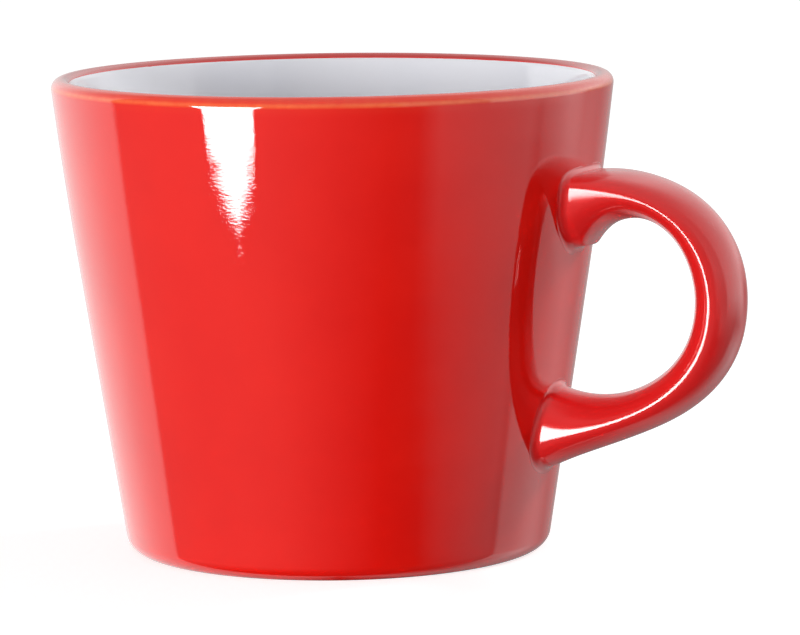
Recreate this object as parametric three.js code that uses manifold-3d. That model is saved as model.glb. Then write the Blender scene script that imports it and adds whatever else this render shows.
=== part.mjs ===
// A conical stoneware mug with a looped strap handle, built as it is made: a clay cup and a clay strap,
// luted together with slip, under a red coat outside and a white liner inside.
// Millimetres, +Z up, the table at Z = 0 and the handle towards +X.
import * as THREE from "three";
import Module from "manifold-3d";

const { sin, cos, tan, atan, atan2, asin, hypot, abs, sign, PI } = Math;
const degrees = THREE.MathUtils.degToRad;
const { lerp, clamp, smoothstep } = THREE.MathUtils;

// Driving dimensions of the cup, measured over its glaze
const RIM_DIAMETER = 100;
const HEIGHT = 85;
const FOOT_DIAMETER = 75.4; // where the straight flank, drawn on, would meet the table
const FLANK_HEIGHT = 50; // the flank is straight up to here and bows upright above
const LIP_LEAN = degrees(6.8); // of the wall where it meets the lip
const LIP_THICKNESS = 3.6;
const WALL_AT_FLOOR = 4.6;
const FLOOR_HEIGHT = 7.5; // inner floor above the table
const FLOOR_FILLET = 10;
const HEEL_RADIUS = 4;
const HEEL_WIPE = degrees(28); // of the heel's round, left bare above the table
const FOOT_RING_WIDTH = 4;
const FOOT_RING_BEVEL = 0.8; // from the ring's flat out to the edge of the red coat
const RECESS_HEIGHT = 1.6;
const RECESS_DRAFT = 1.2;
const COLOUR_SEAM = degrees(155); // round the lip, where the red coat ends and the liner starts

// Driving dimensions of the handle, measured over its glaze
const HANDLE_REACH = 77.2; // outermost point from the cup's axis
const BELLY_HEIGHT = 47.1; // of that point
const UPPER_HEIGHT = 65.5; // where the strap's centre line leaves the wall
const UPPER_RISE = degrees(8.5); // of the centre line there, away from the wall
const UPPER_ARM_PULL = 17.8; // how far the upper bow keeps to that direction
const UPPER_BELLY_PULL = 10; // and to the belly's upright one
const LOWER_HEIGHT = 22.2;
const LOWER_RISE = degrees(10.3);
const LOWER_ARM_PULL = 17.4;
const LOWER_BELLY_PULL = 15.8;
const BELLY_THICKNESS = 8.8;
const ARM_THICKNESS = 6.9; // between the belly and the flared roots
const BELLY_WIDTH = 13.8;
const UPPER_WIDTH = 18.8; // at the wall
const LOWER_WIDTH = 14.4;
const UPPER_OUTER_FLARE = 3.6; // from the centre line to the outside of the loop, at the wall
const UPPER_FINGER_FLARE = 9.6; // and to its finger side
const LOWER_OUTER_FLARE = 5.6;
const LOWER_FINGER_FLARE = 10.8;
const ARM_START = 0.1; // shares of the way from the belly to the wall, where the strap starts to thin
const ARM_END = 0.7; // and has thinned
const OUTER_DELAY = 6; // powers of that way: the more, the later the strap grows
const FINGER_DELAY = 5.2;
const WIDTH_DELAY = 1.4;
const SQUARE_DELAY = 8;
const BELLY_SQUARENESS = 1.8; // 2 is an ellipse, and more is squarer
const UPPER_SQUARENESS = 3.9; // at the wall
const LOWER_SQUARENESS = 2.15;
const ROOT_FILLET = 1.2;

// Fired layers
const GLAZE = 0.4;
const PARTING = 0.1; // left between two layers, so that no two solids share a face
const SLIP_BED = 0.8; // between the cup's clay and the strap's end
const FILLET_EDGE = degrees(30); // where the fillets stop on the wall, short of a feather edge
const SLIP_EDGE = degrees(60); // and where the slip's fillets stop on the strap

// Facets
const ROUND_STEPS = 56;
const HEEL_STEPS = 3;
const BOW_STEPS = 3;
const LIP_STEPS = 6;
const LINER_LIP_STEPS = 2;
const FLOOR_FILLET_STEPS = 5;
const SECTION_STEPS = 20;
const LOOP_STEPS = 30;
const LOOP_CROWDING = 0.5; // of the loop's steps towards its roots
const FILLET_STEPS = 3;
const BED_RINGS = 3;
const HALVINGS = 30; // when a crossing is searched for
const ON_AXIS = 1e-6; // a profile point this near the axis is a pole

// Sizes that follow from the driving dimensions
const CLAY_DEPTH = GLAZE + PARTING; // of the clay's surface below the glaze's
const LIP_RADIUS = LIP_THICKNESS / 2;
const LIP_CENTRE = new THREE.Vector2(RIM_DIAMETER / 2 - LIP_RADIUS, HEIGHT - LIP_RADIUS);
const WALL_TOP = LIP_CENTRE.y - LIP_RADIUS * sin(LIP_LEAN);
const WALL_TOP_RADIUS = LIP_CENTRE.x + LIP_RADIUS * cos(LIP_LEAN);
const BOW_HEIGHT = WALL_TOP - FLANK_HEIGHT;
const FLANK_SLOPE =
  (WALL_TOP_RADIUS - FOOT_DIAMETER / 2 - (tan(LIP_LEAN) * BOW_HEIGHT) / 2) / (WALL_TOP - BOW_HEIGHT / 2);
const FLANK_LEAN = atan(FLANK_SLOPE);
const BOW_BEND = (FLANK_SLOPE - tan(LIP_LEAN)) / (2 * BOW_HEIGHT);
const HEEL_CENTRE = new THREE.Vector2(
  wallRadius(HEEL_RADIUS) - HEEL_RADIUS / cos(FLANK_LEAN),
  HEEL_RADIUS,
);
const BELLY_REACH = HANDLE_REACH - BELLY_THICKNESS / 2;
const ROOT_DEPTH = FOOT_DIAMETER / 4; // of the centre line's ends inside the wall
const FRAME_SHIFT = (HANDLE_REACH - RIM_DIAMETER / 2) / 2; // from the cup's axis to the mug's middle
const RING_OUTER = sunk(outsideStations(), CLAY_DEPTH)[0].x - FOOT_RING_BEVEL;
const RING_INNER = RING_OUTER - FOOT_RING_WIDTH;

// The strap's centre line runs from one root to the other. A place on it is a share of its length, and
// each root is known by the share of its end, which lies inside the cup.
const UPPER_ROOT = 0;
const LOWER_ROOT = 1;
const STRAP = strapLine();
const BELLY = STRAP.getCurveLengths()[1] / STRAP.getLength();
const UPPER_WALL = shareAtWall(UPPER_ROOT);
const LOWER_WALL = shareAtWall(LOWER_ROOT);

const wasm = await Module();
wasm.setup();

// Radius of the glazed wall: a straight flank, then a parabola that bows upright to the lip.
function wallRadius(height) {
  const bow = Math.max(0, height - FLANK_HEIGHT);
  return FOOT_DIAMETER / 2 + FLANK_SLOPE * height - BOW_BEND * bow * bow;
}

// Distance of a point from the glazed wall, positive outside the cup.
function wallDistance(point) {
  return (hypot(point.x, point.y) - wallRadius(point.z)) * cos(FLANK_LEAN);
}

// Joins rows of points into one closed surface. A row of one point is a pole, and a loop's last row meets
// its first. Outward is to the right of the rows' direction, seen with the ring of points running away.
function surfaceThrough(rows, isLoop) {
  const positions = [];
  const index = [];
  const starts = rows.map((row) => {
    const start = positions.length / 3;
    row.forEach((point) => positions.push(...point.toArray()));
    return start;
  });
  const last = isLoop ? rows.length : rows.length - 1;
  for (let i = 0; i < last; i += 1) {
    const next = (i + 1) % rows.length;
    const steps = Math.max(rows[i].length, rows[next].length);
    const corner = (row, step) => starts[row] + (step % rows[row].length);
    for (let step = 0; step < (steps > 1 ? steps : 0); step += 1) {
      if (rows[i].length > 1) index.push(corner(i, step), corner(i, step + 1), corner(next, step + 1));
      if (rows[next].length > 1) index.push(corner(i, step), corner(next, step + 1), corner(next, step));
    }
  }
  const geometry = new THREE.BufferGeometry();
  geometry.setAttribute("position", new THREE.Float32BufferAttribute(positions, 3));
  geometry.setIndex(index);
  return geometry;
}

// Turns a profile of radius and height into a solid of revolution.
function revolved(profile, isLoop = false) {
  const rows = profile.map(({ x: radius, y: height }) => {
    if (abs(radius) < ON_AXIS) return [new THREE.Vector3(0, 0, height)];
    return Array.from({ length: ROUND_STEPS }, (_, step) => {
      const turn = (2 * PI * step) / ROUND_STEPS;
      return new THREE.Vector3(radius * cos(turn), radius * sin(turn), height);
    });
  });
  return surfaceThrough(rows, isLoop);
}

// A station of the cup's glazed profile: a point, and the direction of its outward normal.
function station(radius, height, direction) {
  const normal = new THREE.Vector2(cos(direction), sin(direction));
  return { point: new THREE.Vector2(radius, height), normal };
}

// Stations along a round, by the direction of its normal. A hollow round is centred outside the clay.
function roundStations(centre, radius, from, to, steps, isHollow = false) {
  const side = isHollow ? -radius : radius;
  return Array.from({ length: steps + 1 }, (_, step) => {
    const direction = lerp(from, to, step / steps);
    return station(centre.x + side * cos(direction), centre.y + side * sin(direction), direction);
  });
}

// The stations moved down into the wall by a depth.
function sunk(stations, depth) {
  return stations.map(({ point, normal }) => point.clone().addScaledVector(normal, -depth));
}

// The outside of the cup, from the wiped heel up the flank and over the lip to the colour seam.
function outsideStations() {
  const heel = roundStations(HEEL_CENTRE, HEEL_RADIUS, HEEL_WIPE - PI / 2, -FLANK_LEAN, HEEL_STEPS);
  const bow = Array.from({ length: BOW_STEPS }, (_, step) => {
    const height = FLANK_HEIGHT + (BOW_HEIGHT * step) / BOW_STEPS;
    const slope = FLANK_SLOPE - 2 * BOW_BEND * (height - FLANK_HEIGHT);
    return station(wallRadius(height), height, -atan(slope));
  });
  const lip = roundStations(LIP_CENTRE, LIP_RADIUS, -LIP_LEAN, COLOUR_SEAM, LIP_STEPS);
  return [...heel, ...bow, ...lip];
}

// The inside of the cup, from the colour seam down the wall and over the floor's fillet to the axis.
function insideStations() {
  const corner = new THREE.Vector2(wallRadius(FLOOR_HEIGHT) - WALL_AT_FLOOR, FLOOR_HEIGHT);
  const rise = LIP_CENTRE.clone().sub(corner);
  const lean = atan2(rise.x, rise.y) - asin(LIP_RADIUS / rise.length());
  const seam = COLOUR_SEAM + PARTING / LIP_RADIUS;
  const lip = roundStations(LIP_CENTRE, LIP_RADIUS, seam, PI - lean, LINER_LIP_STEPS);
  const filletCentre = new THREE.Vector2(
    corner.x + FLOOR_FILLET * (tan(lean) - 1 / cos(lean)),
    FLOOR_HEIGHT + FLOOR_FILLET,
  );
  const fillet = roundStations(filletCentre, FLOOR_FILLET, PI - lean, PI / 2, FLOOR_FILLET_STEPS, true);
  return [...lip, ...fillet, station(0, FLOOR_HEIGHT, PI / 2)];
}

// The clay cup: its underside with the recess and foot ring, then its outside and inside under the glaze.
function cupBody() {
  const outside = sunk(outsideStations(), CLAY_DEPTH);
  const inside = sunk(insideStations(), CLAY_DEPTH);
  const ceiling = RECESS_HEIGHT + CLAY_DEPTH;
  const underside = [
    new THREE.Vector2(0, ceiling),
    new THREE.Vector2(RING_INNER - RECESS_DRAFT, ceiling),
    new THREE.Vector2(RING_INNER, 0),
    new THREE.Vector2(RING_OUTER, 0),
  ];
  return revolved([...underside, ...outside, ...inside]);
}

// A coat over some stations of the cup, from its free face down to the parting above the clay.
function coatOver(stations) {
  return revolved([...sunk(stations, 0), ...sunk(stations, GLAZE).reverse()], true);
}

// The glaze that fills the recess's ceiling, inside the foot ring's draft.
function baseGlaze() {
  const radius = RING_INNER - RECESS_DRAFT - PARTING;
  return revolved([
    new THREE.Vector2(0, RECESS_HEIGHT),
    new THREE.Vector2(radius, RECESS_HEIGHT),
    new THREE.Vector2(radius, RECESS_HEIGHT + GLAZE),
    new THREE.Vector2(0, RECESS_HEIGHT + GLAZE),
  ]);
}

// A point of the centre line's straight run through the wall at a root, at a distance out of the wall.
function runPoint(height, rise, distance) {
  const run = new THREE.Vector2(cos(rise), sin(rise)).multiplyScalar(distance);
  return run.add(new THREE.Vector2(wallRadius(height), height));
}

// The strap's centre line, in X and Z: out of the wall, round two bows that meet at the belly, and back.
function strapLine() {
  const upper = (distance) => runPoint(UPPER_HEIGHT, UPPER_RISE, distance);
  const lower = (distance) => runPoint(LOWER_HEIGHT, LOWER_RISE, distance);
  const belly = (above) => new THREE.Vector2(BELLY_REACH, BELLY_HEIGHT + above);
  const line = new THREE.CurvePath();
  line.add(new THREE.LineCurve(upper(-ROOT_DEPTH), upper(0)));
  line.add(new THREE.CubicBezierCurve(upper(0), upper(UPPER_ARM_PULL), belly(UPPER_BELLY_PULL), belly(0)));
  line.add(new THREE.CubicBezierCurve(belly(0), belly(-LOWER_BELLY_PULL), lower(LOWER_ARM_PULL), lower(0)));
  line.add(new THREE.LineCurve(lower(0), lower(-ROOT_DEPTH)));
  return line;
}

// Share of the centre line where it leaves the wall at a root.
function shareAtWall(root) {
  return crossing(root, BELLY, (share) => {
    const { x, y } = STRAP.getPoint(share);
    return wallDistance(new THREE.Vector3(x, 0, y));
  });
}

// The share between one inside and one outside at which a distance is zero, by halving.
function crossing(inside, outside, distanceAt) {
  let [low, high] = [inside, outside];
  for (let i = 0; i < HALVINGS; i += 1) {
    const middle = (low + high) / 2;
    if (distanceAt(middle) < 0) low = middle;
    else high = middle;
  }
  return (low + high) / 2;
}

// The strap's section at a share of its centre line: how far it reaches to the outside of the loop, to the
// finger side and sideways, and how square it is.
function strapSection(share) {
  const isUpper = share < BELLY;
  const wall = isUpper ? UPPER_WALL : LOWER_WALL;
  const toWall = clamp((share - BELLY) / (wall - BELLY), 0, 1);
  const thinned = smoothstep(toWall, ARM_START, ARM_END);
  const halfThickness = lerp(BELLY_THICKNESS, ARM_THICKNESS, thinned) / 2;
  const outer = isUpper ? UPPER_OUTER_FLARE : LOWER_OUTER_FLARE;
  const finger = isUpper ? UPPER_FINGER_FLARE : LOWER_FINGER_FLARE;
  const width = isUpper ? UPPER_WIDTH : LOWER_WIDTH;
  const squareness = isUpper ? UPPER_SQUARENESS : LOWER_SQUARENESS;
  return {
    outer: lerp(halfThickness, outer, toWall ** OUTER_DELAY),
    finger: lerp(halfThickness, finger, toWall ** FINGER_DELAY),
    halfWidth: lerp(BELLY_WIDTH, width, toWall ** WIDTH_DELAY) / 2,
    squareness: lerp(BELLY_SQUARENESS, squareness, toWall ** SQUARE_DELAY),
  };
}

// A point of the strap: at a turn round its section, at a height over its glazed surface, and drawn in
// towards the centre line by a scale. Turn 0 is the outside of the loop.
function strapPoint(share, turn, height, scale = 1) {
  const { outer, finger, halfWidth, squareness } = strapSection(share);
  const halfThickness = cos(turn) > 0 ? outer : finger;
  const rounded = (value, power) => sign(value) * abs(value) ** power;
  const out = rounded(cos(turn), 2 / squareness);
  const side = rounded(sin(turn), 2 / squareness);
  const normal = new THREE.Vector2(
    rounded(out, squareness - 1) / halfThickness,
    rounded(side, squareness - 1) / halfWidth,
  ).normalize();
  const { x, y } = STRAP.getPoint(share);
  const along = STRAP.getTangent(share);
  const reach = scale * (halfThickness * out + height * normal.x);
  const across = scale * (halfWidth * side + height * normal.y);
  return new THREE.Vector3(x - along.y * reach, -across, y + along.x * reach);
}

// Share of the centre line at which a strap point lies at a distance from the wall.
function rootShare(root, turn, distance, height, scale) {
  return crossing(root, BELLY, (share) => {
    return wallDistance(strapPoint(share, turn, height, scale)) - distance;
  });
}

// A row of points round a root, all at one distance from the wall and one height over the strap.
function rootRow(root, distance, height, scale = 1) {
  if (scale === 0) return [rootPole(root, distance)];
  return turns().map((turn) => {
    const share = rootShare(root, turn, distance, height, scale);
    return strapPoint(share, turn, height, scale);
  });
}

function rootPole(root, distance) {
  return strapPoint(rootShare(root, 0, distance, 0, 0), 0, 0, 0);
}

function turns() {
  return Array.from({ length: SECTION_STEPS }, (_, step) => (2 * PI * step) / SECTION_STEPS);
}

// Rows across a root's bed, at one distance from the wall, from its middle out to its edge.
function bedRows(root, distance, height) {
  return Array.from({ length: BED_RINGS + 1 }, (_, ring) => {
    return rootRow(root, distance, height, ring / BED_RINGS);
  });
}

// The root fillet, sunk by a depth: how far it stands off the wall or the strap, given the sine of the
// angle to it.
function filletOffset(depth, sine) {
  return ROOT_FILLET - (ROOT_FILLET + depth) * sine;
}

// A row of the fillet at an angle round it: 0 lies along the wall and a right angle along the strap.
function filletRow(root, depth, angle) {
  return rootRow(root, filletOffset(depth, cos(angle)), filletOffset(depth, sin(angle)));
}

// Rows up a fillet's side, from its lower edge on the clay to an angle round it.
function filletRows(root, depth, toAngle) {
  const foot = rootRow(root, -GLAZE, filletOffset(depth, sin(FILLET_EDGE)));
  const rows = Array.from({ length: FILLET_STEPS + 1 }, (_, step) =>
    filletRow(root, depth, lerp(FILLET_EDGE, toAngle, step / FILLET_STEPS)),
  );
  return [foot, ...rows];
}

// Rows round the loop between the two roots' fillets, sunk by a depth and crowded towards the roots.
function loopRows(depth) {
  const ends = turns().map((turn) =>
    [UPPER_ROOT, LOWER_ROOT].map((root) => rootShare(root, turn, ROOT_FILLET, 0, 1)),
  );
  return Array.from({ length: LOOP_STEPS + 1 }, (_, step) => {
    const even = step / LOOP_STEPS;
    const crowded = even - (LOOP_CROWDING * sin(2 * PI * even)) / (2 * PI);
    return turns().map((turn, i) => strapPoint(lerp(...ends[i], crowded), turn, -depth));
  });
}

// The clay strap, from one slip bed to the other.
function handleClay() {
  const bedTop = SLIP_BED - GLAZE;
  const upper = bedRows(UPPER_ROOT, bedTop, -CLAY_DEPTH);
  const lower = bedRows(LOWER_ROOT, bedTop, -CLAY_DEPTH);
  return surfaceThrough([...upper, ...loopRows(CLAY_DEPTH), ...lower.reverse()]);
}

// The slip of one root: a bed under the strap's end and a fillet round it, parted from both clays.
function slipJoint(root) {
  const againstStrap = PARTING - CLAY_DEPTH;
  const bed = bedRows(root, -GLAZE, filletOffset(CLAY_DEPTH, sin(FILLET_EDGE))).slice(0, -1);
  const fillet = filletRows(root, CLAY_DEPTH, SLIP_EDGE);
  const edge = rootRow(root, filletOffset(CLAY_DEPTH, cos(SLIP_EDGE)), againstStrap);
  const seat = bedRows(root, SLIP_BED - GLAZE - PARTING, againstStrap).reverse();
  return surfaceThrough(facingOut(root, [...bed, ...fillet, edge, ...seat]));
}

// Rows that leave the wall face out at the upper root, and their reverse at the lower one.
function facingOut(root, rows) {
  return root === UPPER_ROOT ? rows : rows.reverse();
}

// The red coat of the strap and of both fillets.
function handleGlaze() {
  const skin = (depth) => {
    const upper = filletRows(UPPER_ROOT, depth, PI / 2).slice(0, -1);
    const lower = filletRows(LOWER_ROOT, depth, PI / 2).slice(0, -1);
    return [...upper, ...loopRows(depth), ...lower.reverse()];
  };
  return surfaceThrough([...skin(0), ...skin(GLAZE).reverse()], true);
}

// What the handle's coat takes out of the cup's coat at one root, with a parting round it.
function rootWindow(root) {
  const reach = 2 * CLAY_DEPTH;
  const opening = filletOffset(0, sin(FILLET_EDGE)) + PARTING;
  const inner = rootRow(root, -reach, opening);
  const outer = rootRow(root, reach, opening);
  const rows = [[rootPole(root, -reach)], inner, outer, [rootPole(root, reach)]];
  return surfaceThrough(facingOut(root, rows));
}

// The red coat of the cup, open where the handle's roots pass through it.
function outerGlaze() {
  const coat = solidOf(coatOver(outsideStations()));
  const windows = [UPPER_ROOT, LOWER_ROOT].map((root) => solidOf(rootWindow(root)));
  return geometryOf(windows.reduce((left, opening) => left.subtract(opening), coat));
}

function solidOf(geometry) {
  return new wasm.Manifold(
    new wasm.Mesh({
      numProp: 3,
      vertProperties: geometry.getAttribute("position").array,
      triVerts: new Uint32Array(geometry.index.array),
    }),
  );
}

function geometryOf(solid) {
  const mesh = solid.getMesh();
  const geometry = new THREE.BufferGeometry();
  geometry.setAttribute("position", new THREE.BufferAttribute(mesh.vertProperties, 3));
  geometry.setIndex(new THREE.BufferAttribute(mesh.triVerts, 1));
  return geometry;
}

const clay = new THREE.MeshStandardMaterial({ color: 0xd8c7ae, roughness: 0.85, metalness: 0 });
const slip = new THREE.MeshStandardMaterial({ color: 0xcdb99c, roughness: 0.9, metalness: 0 });
const redGlaze = new THREE.MeshStandardMaterial({ color: 0xd81e1e, roughness: 0.08, metalness: 0 });
const whiteGlaze = new THREE.MeshStandardMaterial({ color: 0xeeeef0, roughness: 0.12, metalness: 0 });

const mug = new THREE.Group();
mug.name = "mug";

function addPiece(name, geometry, material) {
  geometry.computeVertexNormals();
  const piece = new THREE.Mesh(geometry, material);
  piece.name = name;
  piece.position.x = -FRAME_SHIFT;
  mug.add(piece);
}

addPiece("cup_body", cupBody(), clay);
addPiece("inner_glaze", coatOver(insideStations()), whiteGlaze);
addPiece("outer_glaze", outerGlaze(), redGlaze);
addPiece("base_glaze", baseGlaze(), whiteGlaze);
addPiece("handle", handleClay(), clay);
addPiece("upper_slip_joint", slipJoint(UPPER_ROOT), slip);
addPiece("lower_slip_joint", slipJoint(LOWER_ROOT), slip);
addPiece("handle_glaze", handleGlaze(), redGlaze);

export default mug;
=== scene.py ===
"""Dresses the packed mug in smooth coats of glaze over its clay, and sets it in a pale studio."""

from bisect import bisect
from collections import namedtuple
from itertools import accumulate
from math import asin, atan, atan2, cos, hypot, pi, radians, sin, tan

import bmesh
import bpy
from bpy.props import FloatProperty, FloatVectorProperty, PointerProperty
from mathutils import Matrix, Vector
from mathutils.geometry import interpolate_bezier


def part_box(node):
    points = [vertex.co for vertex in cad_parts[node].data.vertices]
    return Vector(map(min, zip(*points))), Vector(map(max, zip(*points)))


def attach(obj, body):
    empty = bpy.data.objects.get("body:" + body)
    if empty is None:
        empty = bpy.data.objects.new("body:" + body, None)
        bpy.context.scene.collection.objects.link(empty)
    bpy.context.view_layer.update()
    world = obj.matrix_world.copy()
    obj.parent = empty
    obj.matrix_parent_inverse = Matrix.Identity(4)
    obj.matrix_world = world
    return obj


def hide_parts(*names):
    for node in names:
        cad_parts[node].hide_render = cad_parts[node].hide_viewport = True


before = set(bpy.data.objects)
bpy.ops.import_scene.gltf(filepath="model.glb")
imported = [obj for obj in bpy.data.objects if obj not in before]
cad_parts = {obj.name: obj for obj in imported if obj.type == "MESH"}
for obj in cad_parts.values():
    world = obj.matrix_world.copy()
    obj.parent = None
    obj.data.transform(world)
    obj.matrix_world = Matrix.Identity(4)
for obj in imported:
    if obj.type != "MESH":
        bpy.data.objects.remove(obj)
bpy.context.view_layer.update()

bl_info = {
    "name": "Glazed mug",
    "version": (1, 0, 0),
    "blender": (4, 5, 0),
    "location": "3D View > Sidebar > Mug",
    "description": "Builds a conical mug with a looped strap handle, coat by coat",
    "category": "Object",
}

MM = 0.001
BODY = "root"

# Sizes read from the packed solids
COAT_LOW, COAT_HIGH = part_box("outer_glaze")
HANDLE_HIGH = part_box("handle_glaze")[1]
AXIS_X = (COAT_LOW.x + COAT_HIGH.x) / 2

# Fired layers
GLAZE = 0.4 * MM
CLAY_DEPTH = 0.37 * MM  # of the clay below a coat's free face, so that each coat beds into it
SLIP_BED = 0.8 * MM  # between the cup's clay and the strap's end
SEAM_STEP = 0.05 * MM  # of the liner below the red coat where they meet
SEAM_RISE = 1.5 * MM  # over which the liner comes up again
LINER_TUCK = radians(6)  # of the liner under the red coat's edge, round the lip
LIP_BARE_FROM = radians(-10)  # round the lip, where the red coat starts to pull thin
LIP_BAREST = radians(12)
LIP_BARE_TO = radians(32)
LIP_COVER = 0.75  # of the coat that is back from there on
LIP_DARKEN_FROM = radians(85)  # round the lip, where the red coat starts to turn a darker red towards the liner
LIP_DARKEN_TO = radians(110)

# Rounds of the underside
RECESS_ROUND = 0.8 * MM  # between the recess's wall and its ceiling
RING_INNER_ROUND = 0.5 * MM
RING_OUTER_ROUND = 0.6 * MM
BASE_CLIMB = 0.5 * MM  # of the recess's glaze up its wall
BASE_ROUND = 1.5 * MM

# Sizes and reliefs of the marks in the glazes and the clay
RING_PITCH = 6 * MM  # of the throwing rings
RING_RELIEF = 0.03 * MM
RING_STRETCH = (0.15, 0.15, 1.0)
PEEL_GRAIN = 0.38 * MM
PEEL_RELIEF = 0.006 * MM
PEEL_STRETCH = (0.5, 0.5, 1.0)
RED_CLOUD = 16 * MM
LIP_PATCH = 2 * MM  # of thinner and thicker glaze on the lip
WHITE_CLOUD = 22 * MM
SEAM_WAVE = 7 * MM  # along the red coat's uneven edge
SEAM_WAVE_BACK = -0.4  # millimetres from the seam to that edge, at least and at most
SEAM_WAVE_OVER = 0.25
SEAM_BLUR = 0.03  # millimetres to each side of it
BASE_CLOUD = 12 * MM
PINHOLE = 0.9 * MM
CLAY_CLOUD = 9 * MM
CLAY_FLECK = 0.7 * MM
CLAY_GRAIN = 0.4 * MM
CLAY_RELIEF = 0.05 * MM

# Refraction of the fired surfaces
GLAZE_IOR = 1.5
CLAY_IOR = 1.45

# Facets
ROUND_STEPS = 384
HEEL_STEPS = 16
FLANK_STEPS = 24
BOW_STEPS = 24
LIP_STEPS = 32
EDGE_STEPS = 5
FLOOR_FILLET_STEPS = 20
CORNER_STEPS = 5
STRAP_TURNS = 96
CENTRE_LINE_STEPS = 300  # of each bow
LOOP_STEPS = 150
INSIDE_LOOP_STEPS = 40
LOOP_CROWDING = 0.5  # of the loop's rows towards its roots
FILLET_STEPS = 14
HALVINGS = 32  # when a crossing is searched for
ON_AXIS = 1e-7

# The strap's centre line runs from one root to the other, and each root is known by the share of its end.
UPPER_ROOT = 0.0
LOWER_ROOT = 1.0

# The camera, found from the photograph, in metres and radians about the cup's axis
IMAGE_WIDTH = 800
SENSOR_WIDTH = 36
CAMERA_FOCUS = 4731  # pixels
CAMERA_DISTANCE = 0.84
CAMERA_HEIGHT = 0.1529
CAMERA_PITCH = 0.1324
CAMERA_YAW = 0.01368
CAMERA_ROLL = -0.0125
HANDLE_TURN = radians(23.4)  # of the handle towards the camera

# What a gloss mirrors of the studio, by elevation in degrees: pairs of a bearing from the camera's side, in
# degrees, and a level
SURROUNDINGS = {
    -60: (
        (-180, 0.05), (-165, 0.6), (-125, 1.2), (-104, 1.1), (-101, 0.03), (-50, 0.02), (70, 0.02),
        (98, 0.4), (125, 0.8), (150, 0.8), (180, 0.05),
    ),
    -27: (
        (-180, 0.1), (-170, 1.1), (-150, 1.6), (-130, 1.85), (-103, 1.75), (-101, 0.44), (-50, 0.52),
        (-30, 0.46), (0, 0.2), (22, 0), (44, 0), (56, 0.25), (75, 0.45), (95, 0.5), (98, 1.8), (125, 1.8),
        (145, 0.65), (165, 0.45), (180, 0.1),
    ),
    -16: (
        (-180, 0.3), (-170, 1.2), (-150, 1.65), (-130, 1.9), (-103, 1.8), (-101, 0.52), (-50, 0.66),
        (-30, 0.62), (0, 0.33), (25, 0.15), (36, 0.2), (46, 0.9), (90, 0.93), (96, 0.5), (99, 0.75),
        (120, 1.1), (130, 1.05), (145, 0.5), (165, 0.4), (180, 0.2),
    ),
    -4: (
        (-180, 0.6), (-165, 1.2), (-102, 2.1), (-100, 0.3), (18, 0.3), (24, 0.8), (66, 0.8), (67, 2.3),
        (95, 2.9), (115, 2.9), (128, 0.65), (142, 0.45), (180, 0.6),
    ),
    10: (
        (-180, 0.8), (-160, 1.5), (-102, 2.2), (-100, 0.3), (27, 0.3), (29, 1.2), (66, 1.2), (67, 2.3),
        (95, 2.9), (125, 2.9), (150, 1.4), (180, 0.8),
    ),
    50: (
        (-180, 1.1), (-155, 1.5), (-130, 0.6), (-40, 0.7), (0, 0.8), (66, 0.9), (67, 1.4), (100, 1.6),
        (150, 2.0), (165, 2.1), (180, 1.1),
    ),
    80: ((-180, 0.9), (180, 0.9)),
}
BRIGHTEST = 2.9

# The stage's pieces, in metres and degrees
FLOOR_WIDTH = 6.0
LAMP_WIDTH = 0.3
LAMP_AIM = 0.04  # height at which the lamps point
KEY_BEARING = -38
KEY_DISTANCE = 1.3
KEY_HEIGHT = 0.15
FILL_BEARING = 115
FILL_DISTANCE = 1.05
FILL_HEIGHT = 0.78
SOFTBOX_BEARING = -43.3
SOFTBOX_DISTANCE = 1.5
SOFTBOX_AIM = 0.06  # height at which the softbox points
SOFTBOX_RISE = -0.6  # of its middle, seen from there
# The softbox's corners, across and up from its middle
SOFTBOX_CORNERS = ((1.3, -20.1), (10.4, -18.2), (16, 7), (-15.5, 7), (-10.4, -16.8))


def size(name, default, description):
    return FloatProperty(
        name=name, description=description, default=default, min=0, unit="LENGTH", subtype="DISTANCE"
    )


def angle(name, default, description):
    return FloatProperty(name=name, description=description, default=default, subtype="ANGLE")


def ratio(name, default, description):
    return FloatProperty(name=name, description=description, default=default, min=0)


def delay(name, default, what):
    return ratio(name, default, f"Power of the way from belly to wall by which {what}")


def colour(name, default, description):
    return FloatVectorProperty(
        name=name, description=description, default=default, size=3, min=0, max=1, subtype="COLOR"
    )


class CupSizes(bpy.types.PropertyGroup):
    """Sizes of the cup, over its glaze"""

    rim_diameter: size("Rim", COAT_HIGH.y - COAT_LOW.y, "Diameter over the lip")
    height: size("Height", COAT_HIGH.z, "Height of the lip above the table")
    foot_diameter: size("Foot", 75.4 * MM, "Diameter where the flank, drawn on, would meet the table")
    flank_height: size("Flank", 50 * MM, "Height up to which the flank is straight")
    lip_lean: angle("Lip lean", radians(6.8), "Lean of the wall where it meets the lip")
    lip_thickness: size("Lip", 3.6 * MM, "Thickness of the round lip")
    wall_at_floor: size("Wall at floor", 4.6 * MM, "Thickness of the wall at the inner floor")
    floor_height: size("Floor", 7.5 * MM, "Height of the inner floor")
    floor_fillet: size("Floor fillet", 10 * MM, "Radius between the wall and the inner floor")
    heel_radius: size("Heel", 3.2 * MM, "Radius between the flank and the foot")
    heel_wipe: angle("Heel wipe", radians(12), "Part of the heel's round that is left bare")
    colour_seam: angle("Colour seam", radians(141), "Where the red coat ends, round the lip")
    ring_width: size("Foot ring", 4 * MM, "Width of the foot ring's flat")
    ring_bevel: size("Foot ring bevel", 0.3 * MM, "From the ring's flat out to the edge of the red coat")
    recess_height: size("Recess", 1.6 * MM, "Height of the recess inside the foot ring")
    recess_draft: size("Recess draft", 1.2 * MM, "How far the recess narrows upwards")


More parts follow.
